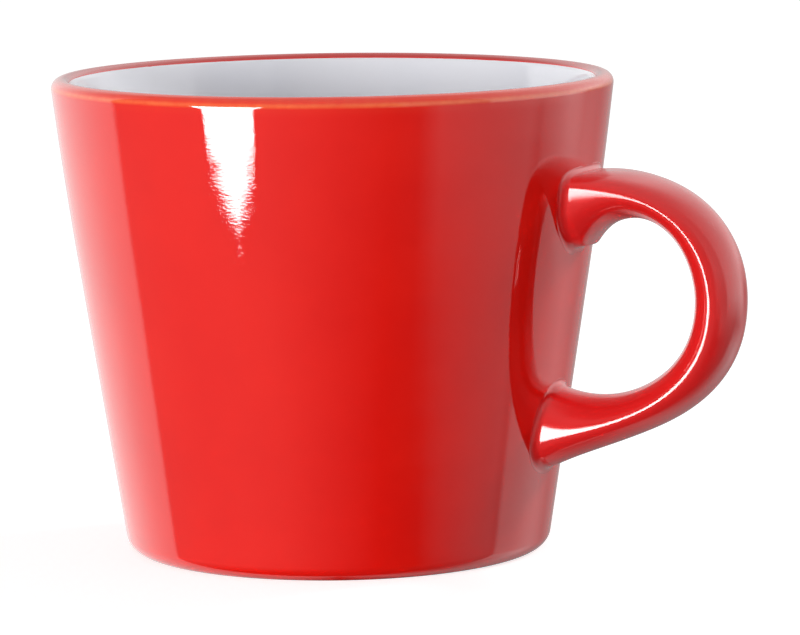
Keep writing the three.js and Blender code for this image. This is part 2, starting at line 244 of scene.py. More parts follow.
class HandleSizes(bpy.types.PropertyGroup):
    """Sizes of the handle, over its glaze"""

    reach: size("Reach", HANDLE_HIGH.x - AXIS_X, "Outermost point from the cup's axis")
    belly_height: size("Belly height", 47.1 * MM, "Height of the outermost point")
    upper_height: size("Upper height", 65.5 * MM, "Where the centre line leaves the wall, at the upper root")
    upper_rise: angle("Upper rise", radians(8.5), "Rise of the centre line there, away from the wall")
    upper_arm_pull: size("Upper arm pull", 17.8 * MM, "How far the upper bow keeps to that direction")
    upper_belly_pull: size("Upper belly pull", 10 * MM, "How far the upper bow keeps upright")
    lower_height: size("Lower height", 22.2 * MM, "Where the centre line leaves the wall, at the lower root")
    lower_rise: angle("Lower rise", radians(10.3), "Rise of the centre line there, away from the wall")
    lower_arm_pull: size("Lower arm pull", 17.4 * MM, "How far the lower bow keeps to that direction")
    lower_belly_pull: size("Lower belly pull", 15.8 * MM, "How far the lower bow keeps upright")
    belly_thickness: size("Belly thickness", 8.8 * MM, "Thickness of the strap at its belly")
    arm_thickness: size("Arm thickness", 6.9 * MM, "Thickness between the belly and the flared roots")
    belly_width: size("Belly width", 13.8 * MM, "Width of the strap at its belly")
    upper_width: size("Upper width", 18.8 * MM, "Width at the upper root")
    lower_width: size("Lower width", 14.4 * MM, "Width at the lower root")
    upper_outer: size("Upper outer flare", 3.2 * MM, "Centre line to the loop's outside, at the upper root")
    upper_finger: size("Upper finger flare", 9.6 * MM, "Centre line to the finger side, at the upper root")
    lower_outer: size("Lower outer flare", 5.6 * MM, "Centre line to the loop's outside, at the lower root")
    lower_finger: size("Lower finger flare", 10.8 * MM, "Centre line to the finger side, at the lower root")
    arm_start: ratio("Arm start", 0.1, "Share of the way from belly to wall where the strap starts to thin")
    arm_end: ratio("Arm end", 0.7, "Share of that way where it has thinned")
    outer_delay: delay("Outer delay", 6, "the outside flares")
    finger_delay: delay("Finger delay", 5.2, "the finger side flares")
    width_delay: delay("Width delay", 1.4, "the strap widens")
    square_delay: delay("Square delay", 8, "the strap squares")
    belly_squareness: ratio("Belly squareness", 1.8, "2 is an ellipse, and more is squarer")
    upper_squareness: ratio("Upper squareness", 5, "The same at the upper root")
    lower_squareness: ratio("Lower squareness", 2.15, "The same at the lower root")
    upper_keel: ratio("Upper keel", 0.5, "Share by which the upper root narrows to its finger side")
    keel_delay: delay("Keel delay", 3.5, "the upper root narrows so")
    root_fillet: size("Root fillet", 1.2 * MM, "Radius between the strap and the wall")


class FinishColours(bpy.types.PropertyGroup):
    """Colours of the glazes and the clay"""

    red: colour("Red glaze", (0.87, 0.013, 0.007), "Where the red coat is even")
    red_deep: colour("Pooled red", (0.80, 0.009, 0.006), "Where it has pooled")
    red_thin: colour("Thin red", (0.98, 0.16, 0.05), "Where it has pulled thin over an edge")
    # A darker red that the coat turns inside the lip, towards the liner
    red_inner_lip: colour("Inner lip red", (0.62, 0.045, 0.04), "Where it turns darker, inside the lip")
    white: colour("White glaze", (0.93, 0.93, 0.97), "Where the liner is even")
    white_pooled: colour("Pooled white", (0.90, 0.905, 0.955), "Where it has pooled")
    clay: colour("Clay", (0.62, 0.52, 0.40), "Bare fired clay")
    clay_speck: colour("Clay speck", (0.30, 0.21, 0.14), "Iron specks in the clay")
    slip: colour("Slip", (0.55, 0.44, 0.32), "Slip under the glaze at the handle's roots")
    floor: colour("Floor", (0.55, 0.55, 0.55), "The table")


class StudioLight(bpy.types.PropertyGroup):
    """Brightness of the studio, where 1 lights a white sheet to white"""

    dome: ratio("Dome", 0.37, "Soft light from all round")
    key: ratio("Key lamp", 0.68, "Soft light from the left of the camera")
    fill: ratio("Fill lamp", 0.36, "Soft light from above on the right")
    glow: ratio("Floor glow", 0.79, "What lifts the floor to white in the picture")
    softbox: ratio("Softbox", 30, "Brightness of the softbox that the gloss mirrors")


# A point of the cup's glazed profile, the direction of its outward normal, and how thin the coat is there;
# below zero, how far it turns a darker red inside the lip.
Station = namedtuple("Station", "point normal thin")


def lerp(start, end, share):
    return start + (end - start) * share


def clamp(value):
    return min(max(value, 0.0), 1.0)


def smooth(value):
    share = clamp(value)
    return share * share * (3 - 2 * share)


def steps(count):
    return [step / count for step in range(count + 1)]


class Wall:
    """The cup's glazed wall: a straight flank that bows upright to a round lip."""

    def __init__(self, cup):
        self.cup = cup
        self.lip_radius = cup.lip_thickness / 2
        self.lip_centre = Vector((cup.rim_diameter / 2 - self.lip_radius, cup.height - self.lip_radius))
        self.top = self.lip_centre.y - self.lip_radius * sin(cup.lip_lean)
        top_radius = self.lip_centre.x + self.lip_radius * cos(cup.lip_lean)
        bow = self.top - cup.flank_height
        rise = tan(cup.lip_lean)
        self.slope = (top_radius - cup.foot_diameter / 2 - rise * bow / 2) / (self.top - bow / 2)
        self.bend = (self.slope - rise) / (2 * bow)
        self.lean = atan(self.slope)
        heel = cup.heel_radius
        self.heel_centre = Vector((self.radius(heel) - heel / cos(self.lean), heel))

    def radius(self, height):
        bow = max(0.0, height - self.cup.flank_height)
        return self.cup.foot_diameter / 2 + self.slope * height - self.bend * bow * bow

    def normal(self, height):
        bow = max(0.0, height - self.cup.flank_height)
        return -atan(self.slope - 2 * self.bend * bow)

    def distance(self, point):
        """Distance of a point from the glazed wall, positive outside the cup."""
        return (hypot(point.x, point.y) - self.radius(point.z)) * cos(self.lean)

    def station(self, height):
        return Station(Vector((self.radius(height), height)), self.normal(height), 0.0)

    def foot_edge(self):
        """Radius where the red coat ends on the heel."""
        return self.heel_centre.x + self.cup.heel_radius * cos(self.cup.heel_wipe - pi / 2)


def arc_stations(centre, radius, start, end, count, thin_at=None):
    """Stations round an arc, by the direction of its normal. A hollow arc has a negative radius."""
    made = []
    for share in steps(count):
        direction = lerp(start, end, share)
        point = centre + radius * Vector((cos(direction), sin(direction)))
        made.append(Station(point, direction, thin_at(direction) if thin_at else 0.0))
    return made


def lip_thinness(direction):
    """How thin the red coat is round the lip: 1 where it pulls away, and -1 inside the lip, where it turns a
    darker red towards the liner.
    """
    bared = smooth((direction - LIP_BARE_FROM) / (LIP_BAREST - LIP_BARE_FROM))
    covered = smooth((direction - LIP_BAREST) / (LIP_BARE_TO - LIP_BAREST))
    # pooled: how far the red turns darker inside the lip, towards the liner
    pooled = smooth((direction - LIP_DARKEN_FROM) / (LIP_DARKEN_TO - LIP_DARKEN_FROM))
    return bared * (1 - LIP_COVER * covered) * (1 - pooled) - pooled


def outside_stations(wall):
    """The outside of the cup, from the wiped heel up the flank and over the lip to the colour seam."""
    cup = wall.cup
    heel = arc_stations(wall.heel_centre, cup.heel_radius, cup.heel_wipe - pi / 2, -wall.lean, HEEL_STEPS)
    flank_foot = heel[-1].point.y
    flank = [wall.station(lerp(flank_foot, cup.flank_height, share)) for share in steps(FLANK_STEPS)[1:]]
    bow = [wall.station(lerp(cup.flank_height, wall.top, share)) for share in steps(BOW_STEPS)[1:-1]]
    seam = cup.colour_seam
    lip = arc_stations(wall.lip_centre, wall.lip_radius, -cup.lip_lean, seam, LIP_STEPS, lip_thinness)
    return heel + flank + bow + lip


def inside_stations(wall):
    """The inside of the cup, from under the red coat's edge down the wall and over the floor to the axis."""
    cup = wall.cup
    corner = Vector((wall.radius(cup.floor_height) - cup.wall_at_floor, cup.floor_height))
    rise = wall.lip_centre - corner
    lean = atan2(rise.x, rise.y) - asin(wall.lip_radius / rise.length)
    start = cup.colour_seam - LINER_TUCK
    lip = arc_stations(wall.lip_centre, wall.lip_radius, start, pi - lean, EDGE_STEPS)
    fillet = cup.floor_fillet
    centre = Vector((corner.x + fillet * (tan(lean) - 1 / cos(lean)), corner.y + fillet))
    floor = arc_stations(centre, -fillet, pi - lean, pi / 2, FLOOR_FILLET_STEPS)
    wall_top, wall_foot = lip[-1].point, floor[0].point
    down = [
        Station(wall_top.lerp(wall_foot, share), pi - lean, 0.0) for share in steps(FLANK_STEPS)[1:-1]
    ]
    floor_edge, middle = floor[-1].point, Vector((0, corner.y))
    across = [Station(floor_edge.lerp(middle, share), pi / 2, 0.0) for share in steps(BOW_STEPS)[1:]]
    return lip + down + floor + across


def sunk(station, depth):
    """A station's point, moved down into the wall by a depth."""
    return station.point - depth * Vector((cos(station.normal), sin(station.normal)))


def rolled_edge(station, along, depth):
    """Points that roll a coat's free face down to its depth, past its last station."""
    normal = Vector((cos(station.normal), sin(station.normal)))
    turns = [pi / 2 * share for share in steps(EDGE_STEPS)[1:]]
    return [station.point + depth * (along * sin(turn) - normal * (1 - cos(turn))) for turn in turns]


def red_coat_profile(wall):
    """A closed outline of the red coat with rolled edges and its back on the clay, with the thinness."""
    stations = outside_stations(wall)
    first, last = stations[0], stations[-1]
    heel_along = Vector((sin(first.normal), -cos(first.normal)))
    seam_along = Vector((-sin(last.normal), cos(last.normal)))
    outline = [(station.point, station.thin) for station in stations]
    outline += [(point, 0.0) for point in rolled_edge(last, seam_along, GLAZE)]
    outline += [(sunk(station, GLAZE), 0.0) for station in reversed(stations)]
    outline += [(point, 0.0) for point in reversed(rolled_edge(first, heel_along, GLAZE))]
    return outline


def liner_profile(wall):
    """An open outline of the liner, from its back to its free face, with each point's way from the seam."""
    stations = inside_stations(wall)
    back = [(sunk(station, GLAZE), 0.0) for station in reversed(stations)]
    face = []
    run = -LINER_TUCK * wall.lip_radius
    previous = stations[0].point
    for station in stations:
        run += (station.point - previous).length
        previous = station.point
        step = SEAM_STEP * (1 - smooth(run / SEAM_RISE))
        face.append((sunk(station, step), run / MM))
    return back + face


def rounded_outline(corners):
    """An outline through corners, each with the radius that rounds it."""
    outline = []
    for index, (corner, radius) in enumerate(corners):
        if radius == 0:
            outline.append(corner)
            continue
        before = (corners[index - 1][0] - corner).normalized()
        after = (corners[index + 1][0] - corner).normalized()
        half = before.angle(after) / 2
        start = corner + before * radius / tan(half)
        end = corner + after * radius / tan(half)
        centre = corner + (before + after).normalized() * radius / sin(half)
        for share in steps(CORNER_STEPS):
            spoke = (start - centre).normalized().slerp((end - centre).normalized(), share)
            outline.append(centre + spoke * radius)
    return outline


def ring_radii(wall):
    """Inner and outer radius of the foot ring's flat."""
    outer = wall.foot_edge() - wall.cup.ring_bevel
    return outer - wall.cup.ring_width, outer


def clay_profile(wall):
    """An open outline of the clay: the recess, the foot ring, the outside, then the inside."""
    cup = wall.cup
    inner, outer = ring_radii(wall)
    ceiling = cup.recess_height + CLAY_DEPTH
    outside = [sunk(station, CLAY_DEPTH) for station in outside_stations(wall)]
    inside = [sunk(station, CLAY_DEPTH + SEAM_STEP) for station in inside_stations(wall)]
    underside = rounded_outline(
        [
            (Vector((0, ceiling)), 0),
            (Vector((inner - cup.recess_draft, ceiling)), RECESS_ROUND),
            (Vector((inner, 0)), RING_INNER_ROUND),
            (Vector((outer, 0)), RING_OUTER_ROUND),
            (outside[0], 0),
        ]
    )
    outline = underside + outside[1:] + inside
    return [(point, 0.0) for point in outline]


def base_profile(wall):
    """An open outline of the glaze in the recess, which climbs a little up its wall."""
    cup = wall.cup
    inner = ring_radii(wall)[0]
    edge = inner - cup.recess_draft
    low = cup.recess_height
    face = rounded_outline(
        [
            (Vector((0, low)), 0),
            (Vector((edge - BASE_CLIMB, low)), BASE_ROUND),
            (Vector((edge + BASE_CLIMB * cup.recess_draft / low, low - BASE_CLIMB)), 0),
        ]
    )
    top = low + GLAZE
    return [(point, 0.0) for point in face + [Vector((edge, top)), Vector((0, top))]]


def profile_mesh(name, outline, is_closed, attribute):
    """A wire along an outline of radius and downward height, with each point's number as an attribute."""
    mesh = bpy.data.meshes.new(name)
    edges = [(index, index + 1) for index in range(len(outline) - 1)]
    if is_closed:
        edges.append((len(outline) - 1, 0))
    mesh.from_pydata([(point.x, -point.y, 0) for point, _ in outline], edges, [])
    if attribute:
        numbers = mesh.attributes.new(attribute, "FLOAT", "POINT")
        numbers.data.foreach_set("value", [number for _, number in outline])
    return mesh


def turning_tree():
    """Geometry nodes that turn a wire of radius and downward height round Z, as on a potter's wheel."""
    tree = bpy.data.node_groups.new("Turned form", "GeometryNodeTree")
    kinds = {"Profile": "Geometry", "Wheel Radius": "Float", "Steps Round": "Int", "Finish": "Material"}
    for name, kind in kinds.items():
        tree.interface.new_socket(name, in_out="INPUT", socket_type=f"NodeSocket{kind}")
    tree.interface.new_socket("Form", in_out="OUTPUT", socket_type="NodeSocketGeometry")
    given = tree.nodes.new("NodeGroupInput").outputs
    inward = place(tree, "ShaderNodeMath", {0: given["Wheel Radius"], 1: -1.0}, operation="MULTIPLY")
    shift = place(tree, "ShaderNodeCombineXYZ", {"X": inward.outputs[0]})
    moved = place(
        tree, "GeometryNodeTransform", {"Geometry": given["Profile"], "Translation": shift.outputs["Vector"]}
    )
    wire = place(tree, "GeometryNodeMeshToCurve", {"Mesh": moved.outputs["Geometry"]})
    wheel = place(
        tree,
        "GeometryNodeCurvePrimitiveCircle",
        {"Resolution": given["Steps Round"], "Radius": given["Wheel Radius"]},
    )
    upright = place(tree, "GeometryNodeSetCurveNormal", {"Curve": wheel.outputs["Curve"]}, mode="Z_UP")
    turned = place(
        tree,
        "GeometryNodeCurveToMesh",
        {"Curve": upright.outputs["Curve"], "Profile Curve": wire.outputs["Curve"]},
    )
    closed = place(
        tree, "GeometryNodeMergeByDistance", {"Geometry": turned.outputs["Mesh"], "Distance": ON_AXIS}
    )
    soft = place(tree, "GeometryNodeSetShadeSmooth", {"Geometry": closed.outputs["Geometry"]})
    real = place(tree, "GeometryNodeRealizeInstances", {"Geometry": soft.outputs["Geometry"]})
    finished = place(
        tree, "GeometryNodeSetMaterial", {"Geometry": real.outputs["Geometry"], "Material": given["Finish"]}
    )
    result = tree.nodes.new("NodeGroupOutput")
    tree.links.new(finished.outputs["Geometry"], result.inputs["Form"])
    return tree


def turned_piece(name, outline, is_closed, material, attribute=None):
    """A piece turned on the wheel from an outline, baked to a plain mesh on the cup's axis."""
    piece = bpy.data.objects.new(name, profile_mesh(name, outline, is_closed, attribute))
    bpy.context.collection.objects.link(piece)
    tree = bpy.data.node_groups.get("Turned form") or turning_tree()
    wheel = piece.modifiers.new("Wheel", "NODES")
    wheel.node_group = tree
    given = {"Wheel Radius": COAT_HIGH.y, "Steps Round": ROUND_STEPS, "Finish": material}
    for item in tree.interface.items_tree:
        if item.in_out == "INPUT" and item.name in given:
            wheel[item.identifier] = given[item.name]
    depsgraph = bpy.context.evaluated_depsgraph_get()
    wire = piece.data
    piece.data = bpy.data.meshes.new_from_object(piece.evaluated_get(depsgraph), depsgraph=depsgraph)
    piece.modifiers.clear()
    bpy.data.meshes.remove(wire)
    piece.data.name = name
    return on_axis(piece)


def on_axis(piece):
    """Moves a new piece's mesh to the cup's axis and turns its faces outwards."""
    piece.data.transform(Matrix.Translation((AXIS_X, 0, 0)))
    faces = bmesh.new()
    faces.from_mesh(piece.data)
    bmesh.ops.recalc_face_normals(faces, faces=faces.faces)
    faces.to_mesh(piece.data)
    faces.free()
    piece.data.update()
    return piece


def run_point(wall, height, rise, distance):
    """A point of the strap's straight run through the wall at a root, at a distance out of the wall."""
    return Vector((wall.radius(height), height)) + distance * Vector((cos(rise), sin(rise)))


def centre_line(sizes, wall):
    """Points of the strap's centre line, in X and Z: out of the wall, round two bows, and back."""

    def upper(distance):
        return run_point(wall, sizes.upper_height, sizes.upper_rise, distance)

    def lower(distance):
        return run_point(wall, sizes.lower_height, sizes.lower_rise, distance)

    def belly(above):
        return Vector((sizes.reach - sizes.belly_thickness / 2, sizes.belly_height + above))

    depth = wall.cup.foot_diameter / 4
    count = CENTRE_LINE_STEPS + 1
    first = interpolate_bezier(
        upper(0), upper(sizes.upper_arm_pull), belly(sizes.upper_belly_pull), belly(0), count
    )
    second = interpolate_bezier(
        belly(0), belly(-sizes.lower_belly_pull), lower(sizes.lower_arm_pull), lower(0), count
    )
    return [upper(-depth), *first, *second[1:], lower(-depth)]


class Strap:
    """The handle's strap: a section that flares towards the wall, swept along a looped centre line."""

    def __init__(self, sizes, wall):
        self.sizes = sizes
        self.wall = wall
        self.points = [point.to_2d() for point in centre_line(sizes, wall)]
        befores = [self.points[0], *self.points[:-1]]
        afters = [*self.points[1:], self.points[-1]]
        runs = [after - before for before, after in zip(befores, afters)]
        self.outwards = [Vector((-run.y, run.x)).normalized() for run in runs]
        lengths = [(after - here).length for here, after in zip(self.points, self.points[1:])]
        self.shares = [length / sum(lengths) for length in accumulate(lengths, initial=0.0)]
        self.belly = self.shares[CENTRE_LINE_STEPS + 1]
        self.upper_wall = self.share_at_wall(UPPER_ROOT)
        self.lower_wall = self.share_at_wall(LOWER_ROOT)

    def line(self, share):
        """The centre line's point at a share of its length, and the direction towards the loop's outside."""
        after = min(max(bisect(self.shares, share), 1), len(self.shares) - 1)
        low, high = self.shares[after - 1], self.shares[after]
        part = (share - low) / (high - low)
        outward = self.outwards[after - 1].lerp(self.outwards[after], part).normalized()
        return self.points[after - 1].lerp(self.points[after], part), outward

    def crossing(self, root, distance_at):
        """The share between a root and the belly at which a distance is zero, by halving."""
        low, high = root, self.belly
        for _ in range(HALVINGS):
            middle = (low + high) / 2
            if distance_at(middle) < 0:
                low = middle
            else:
                high = middle
        return (low + high) / 2

    def share_at_wall(self, root):
        """The share at which the centre line crosses the wall at a root."""

        def distance_at(share):
            point, _ = self.line(share)
            return self.wall.distance(Vector((point.x, 0, point.y)))

        return self.crossing(root, distance_at)

    def section(self, share):
        """The strap's reach to the loop's outside, the finger side and sideways, its squareness and keel."""
        sizes = self.sizes
        is_upper = share < self.belly
        wall = self.upper_wall if is_upper else self.lower_wall
        to_wall = clamp((share - self.belly) / (wall - self.belly))

        def towards(middle, upper, lower, power):
            return lerp(middle, upper if is_upper else lower, to_wall**power)

        thinned = smooth((to_wall - sizes.arm_start) / (sizes.arm_end - sizes.arm_start))
        half = lerp(sizes.belly_thickness, sizes.arm_thickness, thinned) / 2
        outer = towards(half, sizes.upper_outer, sizes.lower_outer, sizes.outer_delay)
        finger = towards(half, sizes.upper_finger, sizes.lower_finger, sizes.finger_delay)
        width = towards(sizes.belly_width, sizes.upper_width, sizes.lower_width, sizes.width_delay)
        squareness = towards(
            sizes.belly_squareness, sizes.upper_squareness, sizes.lower_squareness, sizes.square_delay
        )
        keel = towards(0.0, sizes.upper_keel, 0.0, sizes.keel_delay)
        return outer, finger, width / 2, squareness, keel

    def point(self, share, turn, height):
        """A point at a turn round the section, 0 on the loop's outside, and a height over its surface."""
        outer, finger, half_width, squareness, keel = self.section(share)
        half = outer if cos(turn) > 0 else finger
        out = signed_power(cos(turn), 2 / squareness)
        side = signed_power(sin(turn), 2 / squareness)
        to_finger = min(out, 0.0)
        half_width *= 1 - keel * to_finger**2
        lean = 2 * keel * to_finger * abs(side) ** squareness / (1 - keel * to_finger**2)
        along = (signed_power(out, squareness - 1) + lean) / half
        across = signed_power(side, squareness - 1) / half_width
        normal = Vector((along, across)).normalized()
        centre, outward = self.line(share)
        place_at = centre + outward * (half * out + height * normal.x)
        return Vector((place_at.x, -half_width * side - height * normal.y, place_at.y))

    def root_share(self, root, turn, distance, height):
        """The share at which a line along the strap is at a distance from the wall, near a root."""

        def distance_at(share):
            return self.wall.distance(self.point(share, turn, height)) - distance

        return self.crossing(root, distance_at)

    def root_row(self, root, distance, height):
        """A row round a root, at one distance from the wall and one height over the strap."""
        shares = [self.root_share(root, turn, distance, height) for turn in strap_turns()]
        return [self.point(share, turn, height) for share, turn in zip(shares, strap_turns())]

    def fillet_rows(self, root, depth):
        """Rows up a root's fillet, sunk by a depth, from inside the wall to just short of the strap."""
        fillet = self.sizes.root_fillet
        rows = [self.root_row(root, -GLAZE, fillet - depth)]
        for share in steps(FILLET_STEPS)[:-1]:
            turn = share * pi / 2
            away = fillet - (fillet + depth) * cos(turn)
            over = fillet - (fillet + depth) * sin(turn)
            rows.append(self.root_row(root, away, over))
        return rows

    def loop_rows(self, depth, count):
        """Rows round the loop between the two fillets, sunk by a depth and crowded towards the roots."""
        fillet = self.sizes.root_fillet
        spans = []
        for turn in strap_turns():
            start = self.root_share(UPPER_ROOT, turn, fillet, 0)
            end = self.root_share(LOWER_ROOT, turn, fillet, 0)
            spans.append((turn, start, end))
        rows = []
        for even in steps(count):
            crowded = even - LOOP_CROWDING * sin(2 * pi * even) / (2 * pi)
            rows.append([self.point(lerp(start, end, crowded), turn, -depth) for turn, start, end in spans])
        return rows

    def skin(self, depth, loop_steps):
        """All rows of the coat's surface at a depth, from the upper root to the lower one."""
        upper = self.fillet_rows(UPPER_ROOT, depth)
        lower = self.fillet_rows(LOWER_ROOT, depth)
        return upper + self.loop_rows(depth, loop_steps) + lower[::-1]

    def clay_end(self, root):
        """The row round the clay strap's end, on its bed of slip."""
        return self.root_row(root, SLIP_BED - CLAY_DEPTH, -CLAY_DEPTH)

    def clay_rows(self):
        """Rows of the clay strap, from its upper end to its lower one."""
        loop = self.loop_rows(CLAY_DEPTH, INSIDE_LOOP_STEPS)
        return [self.clay_end(UPPER_ROOT), *loop, self.clay_end(LOWER_ROOT)]

    def slip_rows(self, root):
        """Rows of a root's slip, from the wall up its fillet and back under the strap's end."""
        return [*self.fillet_rows(root, CLAY_DEPTH), self.clay_end(root)]


def signed_power(value, power):
    return abs(value) ** power * (1 if value > 0 else -1)


def strap_turns():
    return [2 * pi * step / STRAP_TURNS for step in range(STRAP_TURNS)]


def lofted_piece(name, rows, is_looped, material):
    """A closed piece through rows of equal length, whose ends meet or have caps."""
    count = len(rows[0])
    points = [point for row in rows for point in row]
    faces = [] if is_looped else [range(count), range(len(points) - count, len(points))]
    for index in range(len(rows) if is_looped else len(rows) - 1):
        here = index * count
        there = (index + 1) % len(rows) * count
        for step in range(count):
            after = (step + 1) % count
            faces.append((here + step, here + after, there + after, there + step))
    mesh = bpy.data.meshes.new(name)
    mesh.from_pydata(points, [], faces)
    mesh.shade_smooth()
    mesh.materials.append(material)
    piece = bpy.data.objects.new(name, mesh)
    bpy.context.collection.objects.link(piece)
    return on_axis(piece)


def place(tree, kind, inputs=None, **settings):
    """Adds a node with its settings, and links or sets its inputs."""
    node = tree.nodes.new(kind)
    for name, value in settings.items():
        setattr(node, name, value)
    for socket, value in (inputs or {}).items():
        if isinstance(value, bpy.types.NodeSocket):
            tree.links.new(value, node.inputs[socket])
        else:
            node.inputs[socket].default_value = value
    return node


def noise(tree, where, feature, detail=2.0):
    """Noise with features of a size, in metres."""
    inputs = {"Vector": where, "Scale": 1 / feature, "Detail": detail, "Roughness": 0.5}
    return place(tree, "ShaderNodeTexNoise", inputs).outputs["Fac"]


def ranged(tree, value, low, high, to_low=0.0, to_high=1.0):
    """A value's range from low to high, spread over another range."""
    node = place(
        tree,
        "ShaderNodeMapRange",
        {"Value": value, "From Min": low, "From Max": high, "To Min": to_low, "To Max": to_high},
    )
    return node.outputs["Result"]


def times(tree, first, second):
    return place(tree, "ShaderNodeMath", {0: first, 1: second}, operation="MULTIPLY").outputs[0]


def blended(tree, share, first, second):
    """A colour between two others."""
    inputs = {0: share, 6: rgba(first), 7: rgba(second)}
    return place(tree, "ShaderNodeMix", inputs, data_type="RGBA").outputs[2]


def rgba(value):
    if isinstance(value, bpy.types.NodeSocket):
        return value
    return (*value, 1.0)


def finish(name, **constants):
    """A new material with a Principled shader, and the constants on its sockets."""
    material = bpy.data.materials.new(name)
    material.use_nodes = True
    tree = material.node_tree
    shader = tree.nodes["Principled BSDF"]
    for socket, value in constants.items():
        shader.inputs[socket.replace("_", " ")].default_value = value
    where = tree.nodes.new("ShaderNodeTexCoord").outputs["Object"]
    return material, tree, shader, where


def glaze_ripple(tree, shader, where):
    """Faint throwing rings and a fine orange peel, drawn out along them, in a coat of glaze, as bump."""
    level = place(tree, "ShaderNodeMapping", {"Vector": where, "Scale": RING_STRETCH}).outputs["Vector"]
    waves = noise(tree, level, RING_PITCH, detail=1.0)
    rings = place(
        tree, "ShaderNodeBump", {"Height": waves, "Distance": RING_RELIEF, "Strength": 1.0}
    ).outputs["Normal"]
    drawn = place(tree, "ShaderNodeMapping", {"Vector": where, "Scale": PEEL_STRETCH}).outputs["Vector"]
    grain = noise(tree, drawn, PEEL_GRAIN)
    peel = place(
        tree,
        "ShaderNodeBump",
        {"Height": grain, "Distance": PEEL_RELIEF, "Strength": 1.0, "Normal": rings},
    )
    tree.links.new(peel.outputs["Normal"], shader.inputs["Normal"])


def red_glaze(colours):
    """Gloss red, a little deeper where it pools, darker inside the lip towards the liner, and orange where
    it pulls thin over the lip.
    """
    material, tree, shader, where = finish("red_glaze", IOR=GLAZE_IOR)
    cloud = noise(tree, where, RED_CLOUD, detail=3.0)
    even = blended(tree, ranged(tree, cloud, low=0.2, high=0.8), colours.red, colours.red_deep)
    thin = place(tree, "ShaderNodeAttribute", attribute_name="thin").outputs["Fac"]
    # Darker red inside the lip, where the thinness runs below zero
    body = blended(tree, ranged(tree, thin, low=0, high=-1), even, colours.red_inner_lip)
    patches = noise(tree, where, LIP_PATCH, detail=5.0)
    bared = times(tree, thin, ranged(tree, patches, low=0.3, high=0.65, to_low=0.65))
    tree.links.new(blended(tree, bared, body, colours.red_thin), shader.inputs["Base Color"])
    gloss = ranged(tree, cloud, low=0.3, high=0.7, to_low=0.015, to_high=0.03)
    tree.links.new(gloss, shader.inputs["Roughness"])
    glaze_ripple(tree, shader, where)
    return material


def white_glaze(colours):
    """Gloss white, a little greyer where it pools, with the red coat's uneven edge at the seam."""
    material, tree, shader, where = finish("white_glaze", IOR=GLAZE_IOR)
    cloud = noise(tree, where, WHITE_CLOUD, detail=3.0)
    body = blended(tree, ranged(tree, cloud, low=0.35, high=0.7), colours.white, colours.white_pooled)
    run = place(tree, "ShaderNodeAttribute", attribute_name="seam_run").outputs["Fac"]
    wave = noise(tree, where, SEAM_WAVE)
    edge = ranged(tree, wave, low=0.3, high=0.7, to_low=SEAM_WAVE_BACK, to_high=SEAM_WAVE_OVER)
    over = place(tree, "ShaderNodeMath", {0: edge, 1: run}, operation="SUBTRACT").outputs[0]
    share = ranged(tree, over, low=-SEAM_BLUR, high=SEAM_BLUR)
    tree.links.new(blended(tree, share, body, colours.red_deep), shader.inputs["Base Color"])
    gloss = ranged(tree, cloud, low=0.3, high=0.7, to_low=0.05, to_high=0.09)
    tree.links.new(gloss, shader.inputs["Roughness"])
    glaze_ripple(tree, shader, where)
    return material


def base_white(colours):
    """The white glaze inside the foot ring, with pinholes."""
    material, tree, shader, where = finish("base_white", IOR=GLAZE_IOR, Roughness=0.1)
    cloud = noise(tree, where, BASE_CLOUD, detail=3.0)
    pores = noise(tree, where, PINHOLE, detail=1.0)
    pinholes = ranged(tree, pores, low=0.24, high=0.3, to_low=1.0, to_high=0.0)
    body = blended(tree, ranged(tree, cloud, low=0.35, high=0.7), colours.white, colours.white_pooled)
    tree.links.new(blended(tree, pinholes, body, colours.clay), shader.inputs["Base Color"])
    glaze_ripple(tree, shader, where)
    return material


def matt_clay(name, base, speck):
    """Fired clay: matt, grainy and flecked with iron."""
    material, tree, shader, where = finish(name, Roughness=0.85, IOR=CLAY_IOR)
    cloud = noise(tree, where, CLAY_CLOUD, detail=4.0)
    shade = blended(tree, ranged(tree, cloud, low=0.3, high=0.7, to_high=0.35), base, speck)
    flecks = ranged(tree, noise(tree, where, CLAY_FLECK, detail=1.0), low=0.68, high=0.74)
    tree.links.new(blended(tree, flecks, shade, speck), shader.inputs["Base Color"])
    grain = noise(tree, where, CLAY_GRAIN, detail=3.0)
    rough = place(tree, "ShaderNodeBump", {"Height": grain, "Distance": CLAY_RELIEF, "Strength": 0.6})
    tree.links.new(rough.outputs["Normal"], shader.inputs["Normal"])
    return material


def adopt(piece, slot, *nodes):
    """Puts a finished piece on the mug's body and hides the solids that it stands for; the slot is not used.
    """
    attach(piece, BODY)
    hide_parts(*nodes)


class MUG_OT_clay_cup(bpy.types.Operator):
    """Turn the clay cup, whose bare foot ring shows under the glaze"""

    bl_idname = "mug.clay_cup"
    bl_label = "Clay cup"

    def execute(self, context):
        scene = context.scene
        wall = Wall(scene.mug_cup)
        clay = matt_clay("fired_clay", scene.mug_colours.clay, scene.mug_colours.clay_speck)
        piece = turned_piece("cup_clay", clay_profile(wall), False, clay)
        adopt(piece, "clay", "cup_body")
        return {"FINISHED"}


class MUG_OT_red_coat(bpy.types.Operator):
    """Turn the red coat outside the cup and over its lip"""

    bl_idname = "mug.red_coat"
    bl_label = "Red coat"

    def execute(self, context):
        scene = context.scene
        material = red_glaze(scene.mug_colours)
        outline = red_coat_profile(Wall(scene.mug_cup))
        piece = turned_piece("red_coat", outline, True, material, "thin")
        adopt(piece, "red_glaze", "outer_glaze")
        return {"FINISHED"}


class MUG_OT_white_liner(bpy.types.Operator):
    """Turn the white liner inside the cup"""

    bl_idname = "mug.white_liner"
    bl_label = "White liner"

    def execute(self, context):
        scene = context.scene
        material = white_glaze(scene.mug_colours)
        outline = liner_profile(Wall(scene.mug_cup))
        piece = turned_piece("white_liner", outline, False, material, "seam_run")
        adopt(piece, "white_glaze", "inner_glaze")
        return {"FINISHED"}


